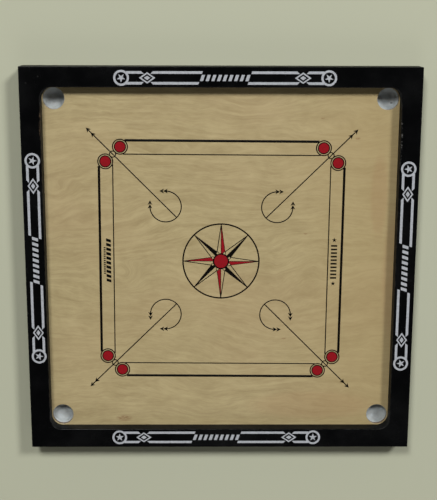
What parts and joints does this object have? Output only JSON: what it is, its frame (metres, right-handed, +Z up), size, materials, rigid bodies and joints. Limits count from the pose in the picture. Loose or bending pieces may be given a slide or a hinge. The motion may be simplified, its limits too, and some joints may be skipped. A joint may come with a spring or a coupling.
{
  "type": "carrom board",
  "caption": "Square tabletop game board with a sunken plywood playing surface, a raised black wooden frame and a cup under the pocket in each corner.",
  "frame": {"origin": "middle of the square underside, on the surface that the board lies on", "axes": "+Z up out of the playing surface, +X to the right and +Y away from the player who sits at the front rail"},
  "size_m": [0.813, 0.813, 0.051],
  "materials": {
    "black_lacquer": "black lacquered hardwood, semi-gloss",
    "lacquered_plywood": "pale birch plywood under a smooth clear lacquer",
    "raw_softwood": "planed, unfinished softwood",
    "beech": "unfinished beech dowel",
    "white_plastic": "moulded white plastic, soft sheen",
    "zinc_plated_steel": "bright zinc plate",
    "black_ink": "screen-printed black ink under the panel's lacquer",
    "red_ink": "screen-printed red ink under the panel's lacquer",
    "silver_ink": "screen-printed silver-white ink on the frame"
  },
  "bodies": {
    "root": {"batten_screw_back_1": "zinc_plated_steel", "batten_screw_back_2": "zinc_plated_steel", "batten_screw_front_1": "zinc_plated_steel", "batten_screw_front_2": "zinc_plated_steel", "batten_screw_left_1": "zinc_plated_steel", "batten_screw_left_2": "zinc_plated_steel", "batten_screw_right_1": "zinc_plated_steel", "batten_screw_right_2": "zinc_plated_steel", "cleat_back": "raw_softwood", "cleat_front": "raw_softwood", "cleat_left": "raw_softwood", "cleat_right": "raw_softwood", "corner_block_back_left": "black_lacquer", "corner_block_back_right": "black_lacquer", "corner_block_front_left": "black_lacquer", "corner_block_front_right": "black_lacquer", "cross_batten_left": "raw_softwood", "cross_batten_right": "raw_softwood", "cup_screw_back_left_1": "zinc_plated_steel", "cup_screw_back_left_2": "zinc_plated_steel", "cup_screw_back_left_3": "zinc_plated_steel", "cup_screw_back_right_1": "zinc_plated_steel", "cup_screw_back_right_2": "zinc_plated_steel", "cup_screw_back_right_3": "zinc_plated_steel", "cup_screw_front_left_1": "zinc_plated_steel", "cup_screw_front_left_2": "zinc_plated_steel", "cup_screw_front_left_3": "zinc_plated_steel", "cup_screw_front_right_1": "zinc_plated_steel", "cup_screw_front_right_2": "zinc_plated_steel", "cup_screw_front_right_3": "zinc_plated_steel", "dowel_back_left_lower": "beech", "dowel_back_left_upper": "beech", "dowel_back_right_lower": "beech", "dowel_back_right_upper": "beech", "dowel_front_left_lower": "beech", "dowel_front_left_upper": "beech", "dowel_front_right_lower": "beech", "dowel_front_right_upper": "beech", "long_batten_back": "raw_softwood", "long_batten_front": "raw_softwood", "playing_panel": "lacquered_plywood", "pocket_cup_back_left": "white_plastic", "pocket_cup_back_right": "white_plastic", "pocket_cup_front_left": "white_plastic", "pocket_cup_front_right": "white_plastic", "rail_back": "black_lacquer", "rail_front": "black_lacquer", "rail_left": "black_lacquer", "rail_right": "black_lacquer"}
  },
  "joints": []
}
